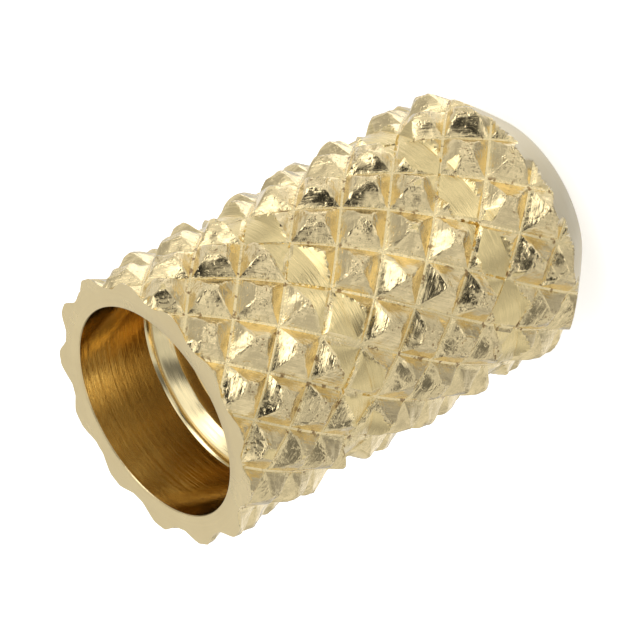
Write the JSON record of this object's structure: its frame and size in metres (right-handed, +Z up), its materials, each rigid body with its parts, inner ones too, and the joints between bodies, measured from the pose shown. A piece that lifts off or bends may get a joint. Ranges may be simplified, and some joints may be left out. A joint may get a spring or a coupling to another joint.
{
  "type": "threaded insert",
  "caption": "Brass threaded insert for plastic, with a diamond knurl parted by ring bands, a counterbored mouth and a tapered nose.",
  "frame": {"origin": "centre of the flat end of the nose, which the insert stands on", "axes": "+Z up the axis of the tapped hole and out of the counterbored mouth, -Y towards the viewer of the picture's side"},
  "size_m": [0.006, 0.006, 0.01],
  "materials": {
    "brass": "bare turned and knurled brass, bright, with fine turning marks"
  },
  "bodies": {
    "root": {"insert": "brass"}
  },
  "joints": []
}
